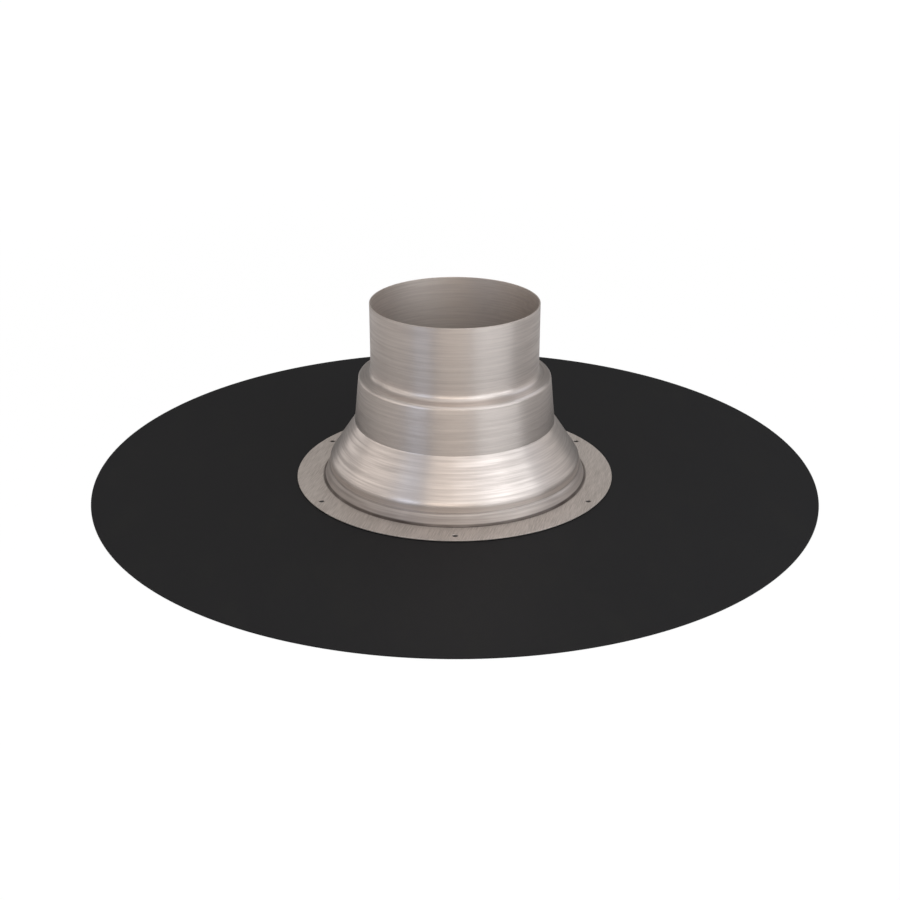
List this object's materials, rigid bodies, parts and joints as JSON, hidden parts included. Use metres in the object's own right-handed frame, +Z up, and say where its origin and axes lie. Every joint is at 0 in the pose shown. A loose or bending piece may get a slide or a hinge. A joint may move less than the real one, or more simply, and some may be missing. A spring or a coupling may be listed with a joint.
{
  "type": "pipe flashing",
  "caption": "Roof pipe flashing: a stepped, spun aluminium collar with a straight spigot, on a round black EPDM skirt.",
  "frame": {"origin": "centre of the skirt's underside, on the pipe axis, at roof level", "axes": "+Z up along the pipe axis, from the roof out of the spigot; one of the flange's screw holes is at -Y"},
  "size_m": [0.5999, 0.6, 0.151],
  "materials": {
    "spun_aluminium": "bare spun sheet, fine tool marks round the axis",
    "butyl_tape": "smooth, tacky",
    "epdm_rubber": "matte"
  },
  "bodies": {
    "root": {"spun_collar": "spun_aluminium", "butyl_seal": "butyl_tape", "skirt_membrane": "epdm_rubber"}
  },
  "joints": []
}
